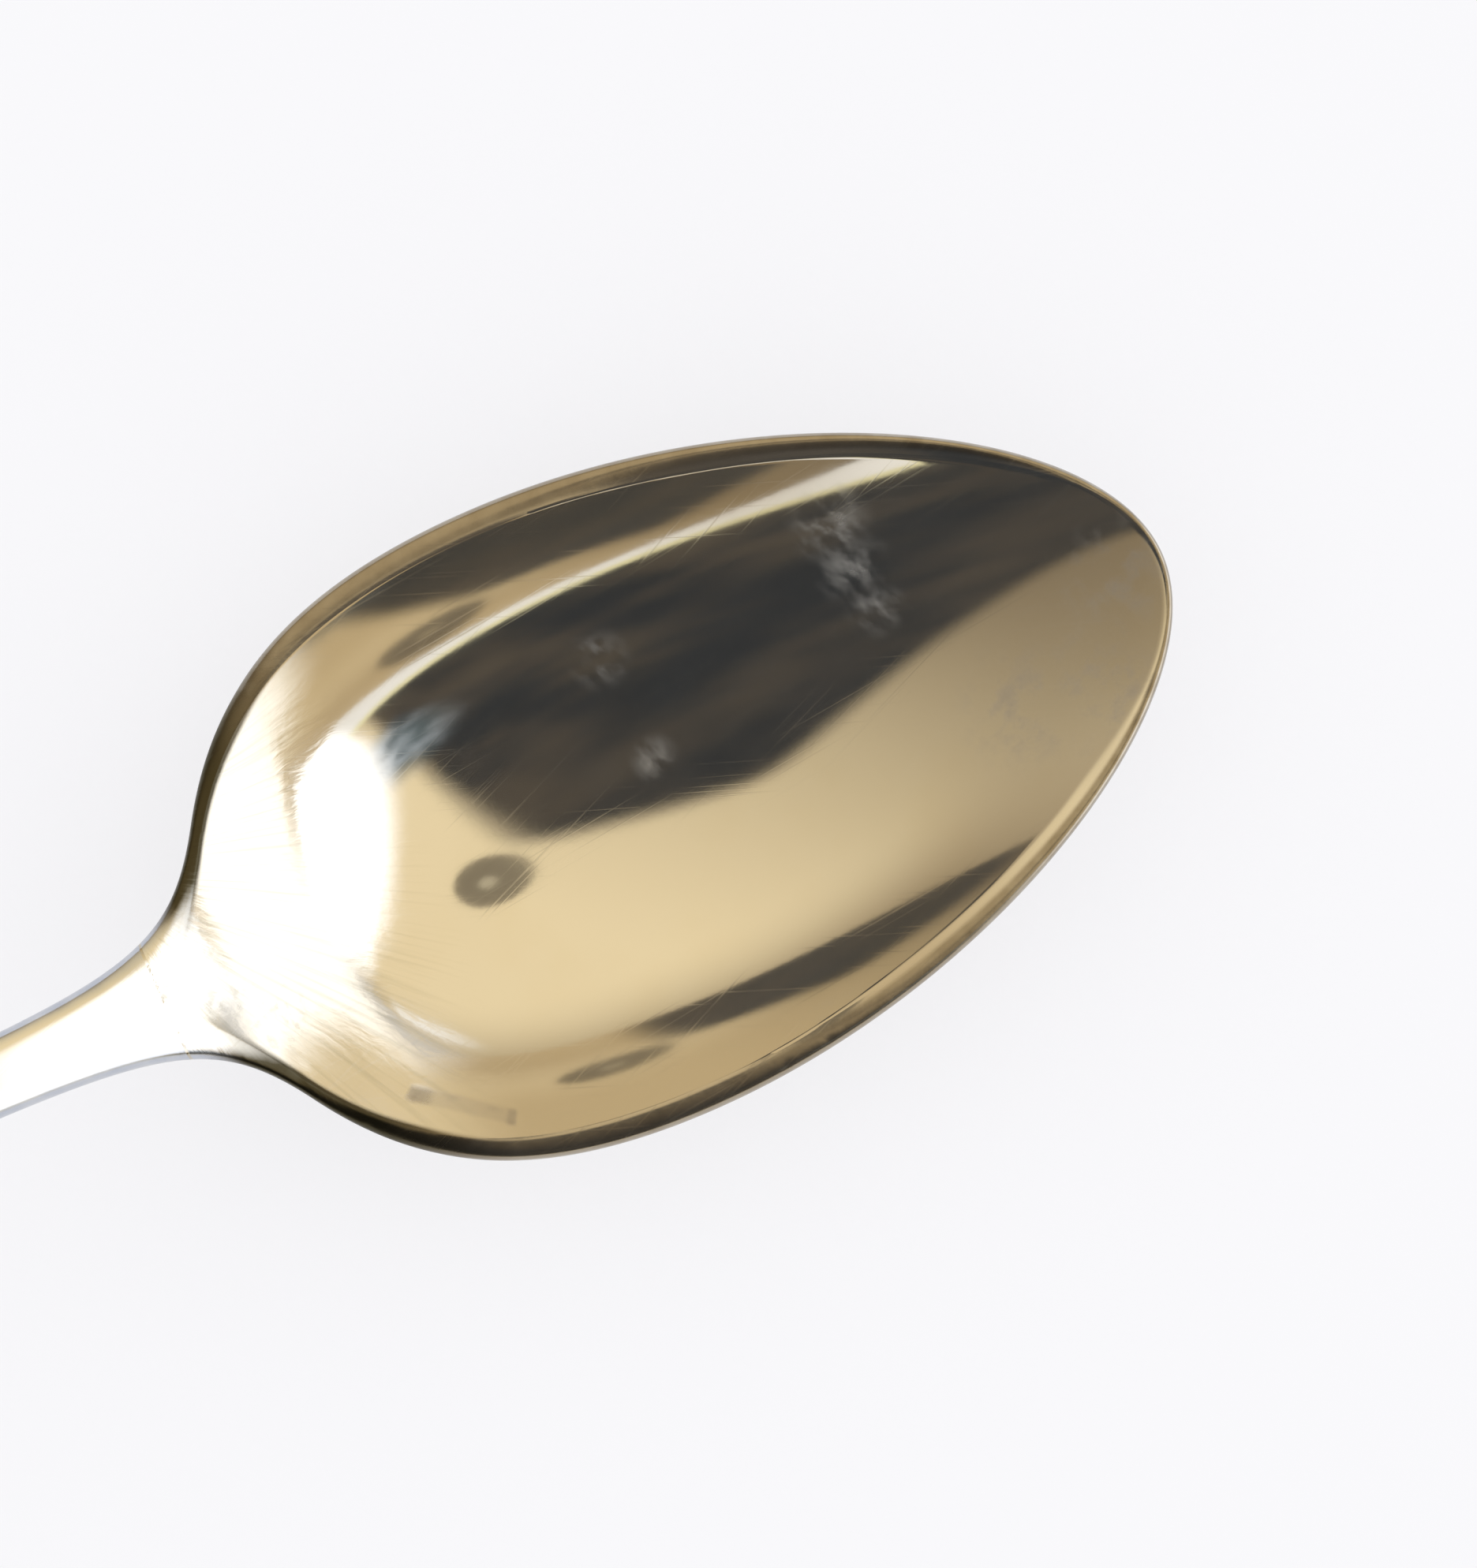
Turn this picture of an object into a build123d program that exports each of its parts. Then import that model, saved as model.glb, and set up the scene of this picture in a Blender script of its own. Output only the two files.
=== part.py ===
from build123d import *
import os
from math import cos, hypot, radians, sin, sqrt, tan

# Driving dimensions in millimetres and degrees
overall_length = 138.0
bowl_length = 48.0
bowl_width = 29.1
bowl_depth = 7.6

# Plan outline of the bowl, from its tip round the side to the shoulder
tip_reach = 6.85
side_reach_to_tip = 13.95
side_reach_to_heel = 9.65
widest_from_neck = 19.85
shoulder_from_neck = 3.35
shoulder_width = 13.5
shoulder_angle = 59.0
shoulder_reach_to_bowl = 5.2
shoulder_reach_to_stem = 6.0

# Form of the bowl: a floor share of 1 gives parabolic sections, less gives a flatter floor
floor_share = 0.57
deepest_from_neck = 16.7
bottom_wall = 0.95
rim_edge = 0.9
neck_edge = 1.2
side_land = 1.2
tip_land = 0.3
land_fall = 0.45
wear_flat = 0.06

# Plan outline of the stem
slim_from_neck = 18.0
slim_width = 3.3
slim_reach_to_neck = 16.0
slim_reach_to_tail = 26.0
end_width = 11.6
end_from_tail = 8.5
end_reach_to_stem = 13.0
end_roundness = 0.6

# Side outline of the stem
rise_from_neck = 8.0
rise_reach = 6.0
arch_from_neck = 30.0
arch_height = 20.2
arch_reach_to_bowl = 20.0
arch_reach_to_tail = 22.0
arch_thickness = 2.3
tail_thickness = 1.35
tail_reach = 20.0
tail_angle = 9.0
tail_round = 0.6
tail_flat = 0.05

# Cross-section of the stem: a squareness of 1 gives square corners, 0.55 gives an ellipse
joint_squareness = 0.88
stem_squareness = 0.76
squareness_run = 14.0

# Soldered joint under the heel of the bowl
seam_from_neck = 0.6
solder_gap = 0.12
tongue_thickness = 0.95
drop_thickness = 0.35
drop_from_neck = 7.8
drop_radius = 2.3

# Places along the spoon, with the tip towards +X and the table at Z = 0
x_tip = overall_length / 2
x_tail = -overall_length / 2
x_neck = x_tip - bowl_length
x_wide = x_neck + widest_from_neck
x_deep = x_neck + deepest_from_neck
x_shoulder = x_neck + shoulder_from_neck
x_slim = x_neck - slim_from_neck
x_end = x_tail + end_from_tail
x_rise = x_neck + rise_from_neck
x_arch = x_neck - arch_from_neck
x_seam = x_neck - seam_from_neck
x_joint = x_seam - solder_gap
x_drop = x_neck + drop_from_neck

# Sizes worked out from the driving dimensions
half_bowl = bowl_width / 2
half_shoulder = shoulder_width / 2
half_slim = slim_width / 2
half_end = end_width / 2
rim_height = bowl_depth + bottom_wall - wear_flat
back_depth = bowl_depth + bottom_wall - rim_edge
tip_radius = 1.5 * tip_reach**2 / (bowl_length - widest_from_neck - side_reach_to_tip)

# End of the tail's outline before it is worn flat, and the fall that lets its round edge touch the table
x_point = x_tail - tail_flat
half_tail = tail_thickness / 2
tail_slope = tan(radians(tail_angle))
tail_sink = tail_slope * (tail_round - tail_flat) + half_tail - hypot(tail_slope * tail_round, half_tail)

# Room round the spoon for the blocks that cut it, and the step over which a slope is measured
side_margin = 2.0
ceiling = arch_height + overall_length / 3
slope_step = 0.05

# Places of the cross-sections of the bowl, evenly from behind the neck to beyond the tip
bowl_steps = 23
neck_overrun = 0.12 * bowl_length
tip_overrun = 0.06 * bowl_length
station_step = (bowl_length + neck_overrun + tip_overrun) / bowl_steps
stations = [x_neck - neck_overrun + station_step * step for step in range(bowl_steps + 1)]

# Shares of a cross-section at which its line is cut into two walls and a floor
wall_cuts = (0.0, 0.41, 0.59, 1.0)

# Places of the cross-sections of the stem: evenly from the joint, then round the tail by angle
stem_steps = 10
tail_turns = (90, 72, 55, 40, 28, 18, 11)

# Shares of each rounded corner of the stem at which its narrow flats meet
corner_shares = (0.2, 0.5, 0.8)

# Half of the plan outline, from the tip to the tail
shoulder_along = Vector(cos(radians(shoulder_angle)), sin(radians(shoulder_angle)))
shoulder_point = Vector(x_shoulder, half_shoulder)
tip_side = Bezier(
    (x_tip, 0),
    (x_tip, tip_reach),
    (x_wide + side_reach_to_tip, half_bowl),
    (x_wide, half_bowl),
)
heel_side = Bezier(
    (x_wide, half_bowl),
    (x_wide - side_reach_to_heel, half_bowl),
    shoulder_point + shoulder_along * shoulder_reach_to_bowl,
    shoulder_point,
)
neck_side = Bezier(
    shoulder_point,
    shoulder_point - shoulder_along * shoulder_reach_to_stem,
    (x_slim + slim_reach_to_neck, half_slim),
    (x_slim, half_slim),
)
stem_side = Bezier(
    (x_slim, half_slim),
    (x_slim - slim_reach_to_tail, half_slim),
    (x_end + end_reach_to_stem, half_end),
    (x_end, half_end),
)
tail_side = Bezier(
    (x_end, half_end),
    (x_end - end_from_tail * end_roundness, half_end),
    (x_point, half_end * end_roundness),
    (x_point, 0),
)
half_outline = [tip_side, heel_side, neck_side, stem_side, tail_side]

# Top line of the stem seen from the side: the rise from the rim, the arch and the fall to the tail
tail_along = Vector(cos(radians(tail_angle)), sin(radians(tail_angle)))
tail_top = Vector(x_tail, tail_thickness - tail_sink)
rise_line = Bezier(
    (x_rise, rim_height),
    (x_rise - rise_reach, rim_height),
    (x_arch + arch_reach_to_bowl, arch_height),
    (x_arch, arch_height),
)
fall_line = Bezier(
    (x_arch, arch_height),
    (x_arch - arch_reach_to_tail, arch_height),
    tail_top + tail_along * tail_reach,
    tail_top,
)


def furthest(edges, x):
    # Largest distance from the X axis at which the edges pass x
    across = Axis((x, 0, 0), (0, 1, 0))
    return max(point.Y for edge in edges for point in edge.find_intersection_points(across))


def half_width(x):
    return furthest(half_outline, x)


def width_square(x):
    # Square of the half width, which runs on below zero past the tip
    if x < x_tip:
        return half_width(x) ** 2
    return 2 * tip_radius * (x_tip - x)


def top_height(x):
    # Height of the rim, or of the stem behind it
    if x >= x_rise:
        return rim_height
    return furthest([rise_line, fall_line], x)


def edge_height(x):
    # Height of the upright edge under the rim, which grows from the widest place to the neck
    share = max(0.0, (x_wide - x) / widest_from_neck)
    return rim_edge + (neck_edge - rim_edge) * share**2


def land_square(x):
    # Part of the width's square that the land takes, so that the hollow ends at the neck and at the tip
    at_neck = half_width(x_seam) ** 2
    at_tip = 2 * tip_radius * tip_land
    return at_tip + (at_neck - at_tip) * (x_tip - x) / bowl_length


def inner_square(x):
    # Square of the half width inside the land on the rim
    scale = ((half_bowl - side_land) ** 2 + land_square(x_wide)) / half_bowl**2
    return width_square(x) * scale - land_square(x)


def share_of_depth(square, widest):
    # Share of the depth that is reached on the centre line of a section
    low = 1 - square / widest
    return 1 - floor_share * low - (1 - floor_share) * low**2


def outline_share(x):
    # Share of the depth that the plan outline alone would give at x
    return share_of_depth(width_square(x), half_bowl**2)


def depth_at(x, depth):
    # Depth scale at x, which falls towards the tip so that the bowl is deepest at its given place
    before = outline_share(x_deep - slope_step)
    after = outline_share(x_deep + slope_step)
    fall = (after - before) / (2 * slope_step)
    return depth * (1 - fall / outline_share(x_deep) * (x - x_deep)) / outline_share(x_deep)


def section_face(x, square, widest, depth, rim):
    # Space above one cross-section, whose floor is a curve of the fourth degree
    span = half_bowl + side_margin
    rise = span**2 / widest
    low = 1 - square / widest
    level = rim - depth * share_of_depth(square, widest)
    second = depth * rise * (floor_share + 2 * (1 - floor_share) * low)
    fourth = depth * rise**2 * (1 - floor_share)
    ends = level + second + fourth
    floor_line = Bezier(
        (x, -span, ends),
        (x, -span / 2, level - fourth),
        (x, 0, level - second / 3 + fourth),
        (x, span / 2, level - fourth),
        (x, span, ends),
    )
    frame = Polyline((x, span, ends), (x, span, ceiling), (x, -span, ceiling), (x, -span, ends))
    pieces = [floor_line.trim(start, end) for start, end in zip(wall_cuts, wall_cuts[1:])]
    return make_face(pieces + [frame])


def above_inside():
    # Space above the inner face of the bowl
    widest = inner_square(x_wide)
    sections = []
    for x in stations:
        sections.append(section_face(x, inner_square(x), widest, depth_at(x, bowl_depth), top_height(x)))
    return loft(sections)


def above_back(at_joint, at_drop):
    # Space above the outer face, lowered by one amount at the joint and another at the end of the tongue
    sections = []
    for x in stations:
        lower = at_joint + (at_drop - at_joint) * (x - x_joint) / (x_drop - x_joint)
        rim = top_height(x) - edge_height(x) - lower
        sections.append(section_face(x, width_square(x), half_bowl**2, depth_at(x, back_depth), rim))
    return loft(sections)


def block_between(x_from, x_to):
    # Upright block across the whole spoon
    return Pos((x_from + x_to) / 2, 0, ceiling / 2) * Box(x_to - x_from, bowl_width + end_width, ceiling)


def above_land():
    # Space above the rim, whose land falls outwards from the hollow
    fall = land_fall / (half_bowl**2 - inner_square(x_wide))
    span = half_bowl + side_margin
    sections = []
    for x in stations:
        level = top_height(x) + fall * inner_square(x)
        ends = level - fall * span**2
        land_line = Bezier((x, -span, ends), (x, 0, level + fall * span**2), (x, span, ends))
        frame = Polyline((x, span, ends), (x, span, ceiling), (x, -span, ceiling), (x, -span, ends))
        sections.append(make_face([land_line, frame]))
    return loft(sections)


def make_bowl(blank, back):
    # Raised shell with a land round its rim and a short tang at the neck
    shell = blank & block_between(x_seam, x_tip + side_margin)
    shell = shell & back
    return shell - above_inside()


def tongue_outline():
    # Plan of the tongue, from the joint to its round end under the heel
    half_joint = half_width(x_joint)
    x_turn = x_drop - drop_radius
    round_end = ThreePointArc((x_turn, drop_radius), (x_drop, 0), (x_turn, -drop_radius))
    sides = Polyline(
        (x_turn, -drop_radius),
        (x_joint, -half_joint),
        (x_joint, half_joint),
        (x_turn, drop_radius),
    )
    return make_face([round_end, sides])


def under_lines():
    # Lower line of the stem seen from the side, from the joint to the tail
    lap_drop = depth_at(x_joint, back_depth) * outline_share(x_joint)
    lap_thickness = edge_height(x_joint) + lap_drop + solder_gap + tongue_thickness
    lap_bottom = Vector(x_joint, top_height(x_joint) - lap_thickness)
    arch_bottom = Vector(x_arch, arch_height - arch_thickness)
    tail_bottom = Vector(x_tail, -tail_sink)
    under_rise = Bezier(
        lap_bottom,
        lap_bottom + Vector(-rise_reach, top_height(x_joint - rise_reach) - top_height(x_joint)),
        arch_bottom + Vector(arch_reach_to_bowl, 0),
        arch_bottom,
    )
    under_fall = Bezier(
        arch_bottom,
        arch_bottom - Vector(arch_reach_to_tail, 0),
        tail_bottom + tail_along * tail_reach,
        tail_bottom,
    )
    return [under_rise, under_fall]


def on_corner(share, square):
    # Point on a rounded corner of unit size, across and up
    rest = 1 - share
    across = rest**3 + 3 * rest**2 * share + 3 * rest * share**2 * square
    up = 3 * rest**2 * share * square + 3 * rest * share**2 + share**3
    return across, up


def stem_section(x, bottom):
    # Bar section with flats round its corners, squarer at the joint and rounded off at the tail
    run = min(1.0, (x_joint - x) / squareness_run)
    square = joint_squareness + (stem_squareness - joint_squareness) * run
    turn = max(0.0, 1 - (x - x_point) / tail_round)
    wide = half_width(x) / on_corner(corner_shares[0], square)[0]
    tall = (top_height(x) - bottom) / 2 * sqrt(1 - turn**2) / on_corner(corner_shares[-1], square)[1]
    middle = (top_height(x) + bottom) / 2
    corner = [on_corner(share, square) for share in corner_shares]
    points = []
    for side, up in ((1, 1), (-1, 1), (-1, -1), (1, -1)):
        flats = [(x, side * wide * point[0], middle + up * tall * point[1]) for point in corner]
        points += flats if side == up else reversed(flats)
    return make_face([Polyline(*points, close=True)])


def make_bar():
    # Forged stem behind the joint: arched from the side, widened to a round tail
    lines = under_lines()
    places = [x_joint + (x_end - x_joint) * step / stem_steps for step in range(stem_steps)]
    places += [x_point + (x_end - x_point) * (1 - cos(radians(turn))) for turn in tail_turns] + [x_tail]
    return loft([stem_section(x, furthest(lines, x)) for x in places])


def make_stem(tongue_block, solder_top):
    # Stem with the tongue that is lapped under the heel and ends in a drop
    tongue = tongue_block & above_back(solder_gap + tongue_thickness, solder_gap + drop_thickness)
    tongue = tongue - solder_top
    return make_bar() + tongue


def make_solder(tongue_block, land, solder_top, back):
    # Film between the tongue, the end of the tang and the stem
    film = tongue_block & solder_top
    film = film - land
    return film - (block_between(x_seam, x_tip) & back)


def make_pieces():
    plan = make_face(half_outline + [mirror(edge, Plane.XZ) for edge in half_outline])
    land = above_land()
    blank = extrude(plan, arch_height) - land
    tongue_block = extrude(tongue_outline(), arch_height)
    back = above_back(0, 0)
    solder_top = Pos(0, 0, -solder_gap) * back
    return {
        "bowl": make_bowl(blank, back),
        "stem": make_stem(tongue_block, solder_top),
        "solder_seam": make_solder(tongue_block, land, solder_top, back),
    }


os.makedirs("parts", exist_ok=True)
for name, piece in make_pieces().items():
    export_step(piece, f"parts/{name}.step")
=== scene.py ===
import bmesh
import bpy
import numpy as np
from math import cos, pi, radians, sin, sqrt, tan
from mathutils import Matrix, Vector, noise


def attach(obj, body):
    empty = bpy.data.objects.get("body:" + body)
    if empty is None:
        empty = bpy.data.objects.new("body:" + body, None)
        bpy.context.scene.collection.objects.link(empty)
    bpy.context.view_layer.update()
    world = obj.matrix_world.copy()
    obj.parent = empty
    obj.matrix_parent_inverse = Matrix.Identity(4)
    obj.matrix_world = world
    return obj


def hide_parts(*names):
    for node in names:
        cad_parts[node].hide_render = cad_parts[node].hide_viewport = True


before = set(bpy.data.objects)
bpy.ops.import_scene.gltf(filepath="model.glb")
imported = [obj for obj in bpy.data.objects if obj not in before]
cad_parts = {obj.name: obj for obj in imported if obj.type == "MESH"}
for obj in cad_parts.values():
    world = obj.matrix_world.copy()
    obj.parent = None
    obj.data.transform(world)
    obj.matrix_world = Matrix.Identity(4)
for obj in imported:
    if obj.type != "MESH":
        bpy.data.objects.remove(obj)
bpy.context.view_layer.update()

mm = 0.001
print("frame loaded:", sorted(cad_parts))

# the spoon's driving sizes in millimetres, tip towards +X, table at Z = 0
spoon = {
    "length": 138.0, "bowlLength": 48.0, "bowlWidth": 29.1, "bowlDepth": 7.6,
    "tipReach": 6.85, "sideToTip": 13.95, "sideToHeel": 9.65, "widest": 19.85,
    "shoulder": 3.35, "shoulderWidth": 13.5, "shoulderAngle": 59.0,
    "shoulderToBowl": 5.2, "shoulderToStem": 6.0,
    "floorShare": 0.57, "deepest": 16.7, "bottomWall": 0.95, "rimEdge": 0.9, "neckEdge": 1.2,
    "sideLand": 1.2, "tipLand": 0.3, "wearFlat": 0.06,
    "slim": 18.0, "slimWidth": 3.3, "slimToNeck": 16.0, "slimToTail": 26.0,
    "endWidth": 11.6, "endFromTail": 8.5, "endToStem": 13.0, "endRoundness": 0.6,
    "rise": 8.0, "riseReach": 6.0, "arch": 30.0, "archHeight": 20.2,
    "archToBowl": 20.0, "archToTail": 22.0, "archThickness": 2.3,
    "tailThickness": 1.35, "tailReach": 20.0, "tailAngle": 9.0, "tailRound": 0.6,
    "seam": 0.6, "solderGap": 0.12, "tongueThickness": 0.95,
    "dropThickness": 0.35, "drop": 7.8, "dropRadius": 2.3,
}

# places along the spoon
xTip = spoon["length"] / 2
xTail = -xTip
xNeck = xTip - spoon["bowlLength"]
xWide = xNeck + spoon["widest"]
xDeep = xNeck + spoon["deepest"]
xShoulder = xNeck + spoon["shoulder"]
xSlim = xNeck - spoon["slim"]
xEnd = xTail + spoon["endFromTail"]
xRise = xNeck + spoon["rise"]
xArch = xNeck - spoon["arch"]
xSeam = xNeck - spoon["seam"]
xJoint = xSeam - spoon["solderGap"]
xDrop = xNeck + spoon["drop"]
halfBowl = spoon["bowlWidth"] / 2
rimHeight = spoon["bowlDepth"] + spoon["bottomWall"] - spoon["wearFlat"]
backDepth = spoon["bowlDepth"] + spoon["bottomWall"] - spoon["rimEdge"]
tipRadius = 1.5 * spoon["tipReach"] ** 2 / (spoon["bowlLength"] - spoon["widest"] - spoon["sideToTip"])


def bezier(points, steps=2000):
    t = np.linspace(0, 1, steps)[:, None]
    a, b, c, d = np.array(points, float)
    return (1 - t) ** 3 * a + 3 * t * (1 - t) ** 2 * b + 3 * t * t * (1 - t) * c + t**3 * d


def lineOf(curves):
    # points of several curves as one line, sorted by x for interpolation
    points = np.vstack(curves)
    return points[np.argsort(points[:, 0], kind="stable")]


# half of the plan outline, from the tip to the tail
alongShoulder = np.array([cos(radians(spoon["shoulderAngle"])), sin(radians(spoon["shoulderAngle"]))])
shoulderPoint = np.array([xShoulder, spoon["shoulderWidth"] / 2])
halfSlim = spoon["slimWidth"] / 2
halfEnd = spoon["endWidth"] / 2
bowlSide = np.vstack([
    bezier([(xTip, 0), (xTip, spoon["tipReach"]),
            (xWide + spoon["sideToTip"], halfBowl), (xWide, halfBowl)]),
    bezier([(xWide, halfBowl), (xWide - spoon["sideToHeel"], halfBowl),
            shoulderPoint + alongShoulder * spoon["shoulderToBowl"], shoulderPoint])[1:],
    bezier([shoulderPoint, shoulderPoint - alongShoulder * spoon["shoulderToStem"],
            (xSlim + spoon["slimToNeck"], halfSlim), (xSlim, halfSlim)])[1:],
])
stemSideShade = np.vstack([
    bezier([(xSlim, halfSlim), (xSlim - spoon["slimToTail"], halfSlim),
            (xEnd + spoon["endToStem"], halfEnd), (xEnd, halfEnd)])[1:],
    bezier([(xEnd, halfEnd), (xEnd - spoon["endFromTail"] * spoon["endRoundness"], halfEnd),
            (xTail, halfEnd * spoon["endRoundness"]), (xTail, 0)])[1:],
])
outline = lineOf([bowlSide, stemSideShade])

# top line of the stem, seen from the side
tailAlong = np.array([cos(radians(spoon["tailAngle"])), sin(radians(spoon["tailAngle"]))])
tailSlope = tan(radians(spoon["tailAngle"]))
halfTail = spoon["tailThickness"] / 2
tailDip = tailSlope * spoon["tailRound"]
tailSink = tailDip + halfTail - sqrt(tailDip**2 + halfTail**2)
tailTop = np.array([xTail, spoon["tailThickness"] - tailSink])
topLine = lineOf([
    bezier([(xRise, rimHeight), (xRise - spoon["riseReach"], rimHeight),
            (xArch + spoon["archToBowl"], spoon["archHeight"]), (xArch, spoon["archHeight"])]),
    bezier([(xArch, spoon["archHeight"]), (xArch - spoon["archToTail"], spoon["archHeight"]),
            tailTop + tailAlong * spoon["tailReach"], tailTop])[1:],
])


def widthSquare(x):
    inside = np.interp(x, outline[:, 0], outline[:, 1] ** 2)
    return np.where(x < xTip, inside, 2 * tipRadius * (xTip - x))


def topHeight(x):
    return np.where(x >= xRise, rimHeight, np.interp(x, topLine[:, 0], topLine[:, 1]))


def edgeHeight(x):
    share = np.maximum(0, (xWide - x) / spoon["widest"])
    return spoon["rimEdge"] + (spoon["neckEdge"] - spoon["rimEdge"]) * share**2


def landSquare(x):
    atNeck = widthSquare(xSeam)
    atTip = 2 * tipRadius * spoon["tipLand"]
    return atTip + (atNeck - atTip) * (xTip - x) / spoon["bowlLength"]


landScale = ((halfBowl - spoon["sideLand"]) ** 2 + landSquare(xWide)) / halfBowl**2


def innerSquare(x):
    return widthSquare(x) * landScale - landSquare(x)


def depthShare(square, widest):
    low = 1 - square / widest
    return 1 - spoon["floorShare"] * low - (1 - spoon["floorShare"]) * low**2


def outlineShare(x):
    return depthShare(widthSquare(x), halfBowl**2)


slopeStep = 0.05
depthFall = (outlineShare(xDeep + slopeStep) - outlineShare(xDeep - slopeStep)) / (2 * slopeStep)


def depthAt(x, depth):
    return depth * (1 - depthFall / outlineShare(xDeep) * (x - xDeep)) / outlineShare(xDeep)


def dishHeight(x, y):
    depth = depthAt(x, spoon["bowlDepth"])
    return topHeight(x) - depth * depthShare(innerSquare(x) - y**2, innerSquare(xWide))


def backHeight(x, y):
    rim = topHeight(x) - edgeHeight(x)
    return rim - depthAt(x, backDepth) * depthShare(widthSquare(x) - y**2, halfBowl**2)


def landShare(x, y):
    # 0 on the inner edge of the rim's land, 1 on the outline
    inner = innerSquare(x)
    return (y**2 - inner) / (widthSquare(x) - inner)


def softMin(a, b, reach):
    # lower of two heights, with the edge between them rounded
    mix = np.clip(0.5 + 0.5 * (b - a) / reach, 0, 1)
    return b + (a - b) * mix - reach * mix * (1 - mix)


def smooth(value, start, end):
    share = np.clip((value - start) / (end - start), 0, 1)
    return share * share * (3 - 2 * share)


noiseShift = (7.3, 3.1, 5.7)


def waves(points, size, seed):
    # smooth noise over many points, features about size millimetres across
    shift = Vector([seed * part for part in noiseShift])
    return np.array([noise.noise(Vector(p) / size + shift) for p in points])


def spaced(points, count):
    # points evenly spaced along a line
    run = np.concatenate([[0], np.cumsum(np.hypot(*np.diff(points, axis=0).T))])
    at = np.linspace(0, run[-1], count)
    return np.column_stack([np.interp(at, run, points[:, k]) for k in (0, 1)])


# how a skin is closed, in metres, and where its shading breaks
skin = {"merge": 1e-7, "sliver": 1e-8, "sharp": radians(40)}


def wrapGrid(name, columns, rows, place):
    # a grid wrapped round a closed form: each row a ring, the end rows drawn to points
    mesh = bmesh.new()
    bmesh.ops.create_grid(mesh, x_segments=columns, y_segments=rows, size=0.5)
    flat = np.array([vert.co for vert in mesh.verts])
    column = np.rint((flat[:, 0] + 0.5) * columns).astype(int) % columns
    row = np.rint((flat[:, 1] + 0.5) * rows).astype(int)
    points, marks = place(column, row)
    layers = {key: mesh.verts.layers.float.new(key) for key in marks}
    for k, vert in enumerate(mesh.verts):
        vert.co = points[k] * mm
        for key, layer in layers.items():
            vert[layer] = marks[key][k]
    bmesh.ops.remove_doubles(mesh, verts=mesh.verts, dist=skin["merge"])
    bmesh.ops.dissolve_degenerate(mesh, edges=mesh.edges, dist=skin["sliver"])
    bmesh.ops.recalc_face_normals(mesh, faces=mesh.faces)
    for face in mesh.faces:
        face.smooth = True
    data = bpy.data.meshes.new(name)
    mesh.to_mesh(data)
    mesh.free()
    data.set_sharp_from_angle(angle=skin["sharp"])
    piece = bpy.data.objects.new(name, data)
    bpy.context.scene.collection.objects.link(piece)
    return piece


# the bowl: a dish, a rounded land round its rim, and a back with a worn flat
# pairs are where a change starts and ends, waves a height and a size
bowl = {
    "around": 560, "dishRings": 106, "landRings": 18, "edgeRings": 3, "backRings": 28, "endColumns": 40,
    "centre": 38.0, "halvings": 50, "ringPower": 1.25, "edgeIn": 0.004, "backReach": 0.992,
    "innerRound": 0.05, "landDrop": 0.75, "landTilt": 0.4, "landPower": 2.0, "neckPower": 5.0,
    "neckFlat": (6.0, 1.0), "flatLand": (26.0, 32.0), "flatRound": 0.02,
    "tipDip": 0.2, "dipFrom": (42.0, 52.0), "dipTo": (67.5, 61.0), "dipReach": -2.0,
    "waves": (0.0035, 5.0), "wavesIn": (0.9, -0.2),
    "heelWaves": (0.006, 1.6), "heel": (33.0, 24.0),
    "recess": {
        "x": 30.07, "y": -9.73, "turn": radians(-37), "long": 2.5, "wide": 0.32, "deep": 0.045,
        "soft": (-0.1, 0.14), "shallow": 0.35, "backFoot": (1.3, 0.7), "frontFoot": (0.5, 0.2),
    },
    "nicks": [(24.4, -5.3, 0.3, 0.10), (26.0, -8.9, 0.2, 0.05),
              (44.2, -14.1, 0.2, 0.02), (46.4, -13.8, 0.2, 0.015)],
    # where the rim's tarnish and painted shade lie, and the back's wear
    "landWornAndShaded": (0.02, 0.3), "neckWornAndShaded": 0.35, "backWorn": (0.6, 1.0), "backWear": 0.4,
    "sideWornAndShaded": (0.72, 0.95), "neckRun": 4.0,
    # where the upper wall is painted darker, a painted shade in its reflection
    "wallDepth": (0.65, 0.20), "wallFrom": (27.0, 33.0), "wallTo": (64.0, 50.0),
}


def rimPoints():
    # closed loop of points on the outline: tip, one side, the soldered end, the other side
    side = bowlSide[bowlSide[:, 0] >= xSeam]
    half = bowl["around"] // 2 - bowl["endColumns"] // 2
    upper = spaced(np.vstack([side, [(xSeam, side[-1, 1])]]), half + 1)
    turns = [pi * k / bowl["endColumns"] for k in range(1, bowl["endColumns"])]
    across = [(xSeam, upper[-1, 1] * cos(turn)) for turn in turns]
    lower = upper[::-1] * (1, -1)
    return np.vstack([upper, across, lower[:-1]])


def topOfBowl(x, y):
    # dish and land as one surface, the land flatter on top at the neck and towards the tip
    share = landShare(x, y)
    t = np.clip(share, 0, 1)
    atNeck = smooth(x - xNeck, *bowl["neckFlat"])
    flatter = np.maximum(atNeck, smooth(x, *bowl["flatLand"]))
    power = bowl["landPower"] + (bowl["neckPower"] - bowl["landPower"]) * flatter
    tilt = bowl["landTilt"] * (1 - flatter)
    fall = (1 - tilt) * (1 - np.sqrt(1 - t**power)) + tilt * t
    dip = bowl["tipDip"] * smooth(x, *bowl["dipFrom"]) * smooth(x, *bowl["dipTo"])
    land = topHeight(x) - bowl["landDrop"] * edgeHeight(x) * fall
    land = land - dip * (1 - np.clip(share, bowl["dipReach"], 1))
    return softMin(dishHeight(x, y), land, bowl["innerRound"])


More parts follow.
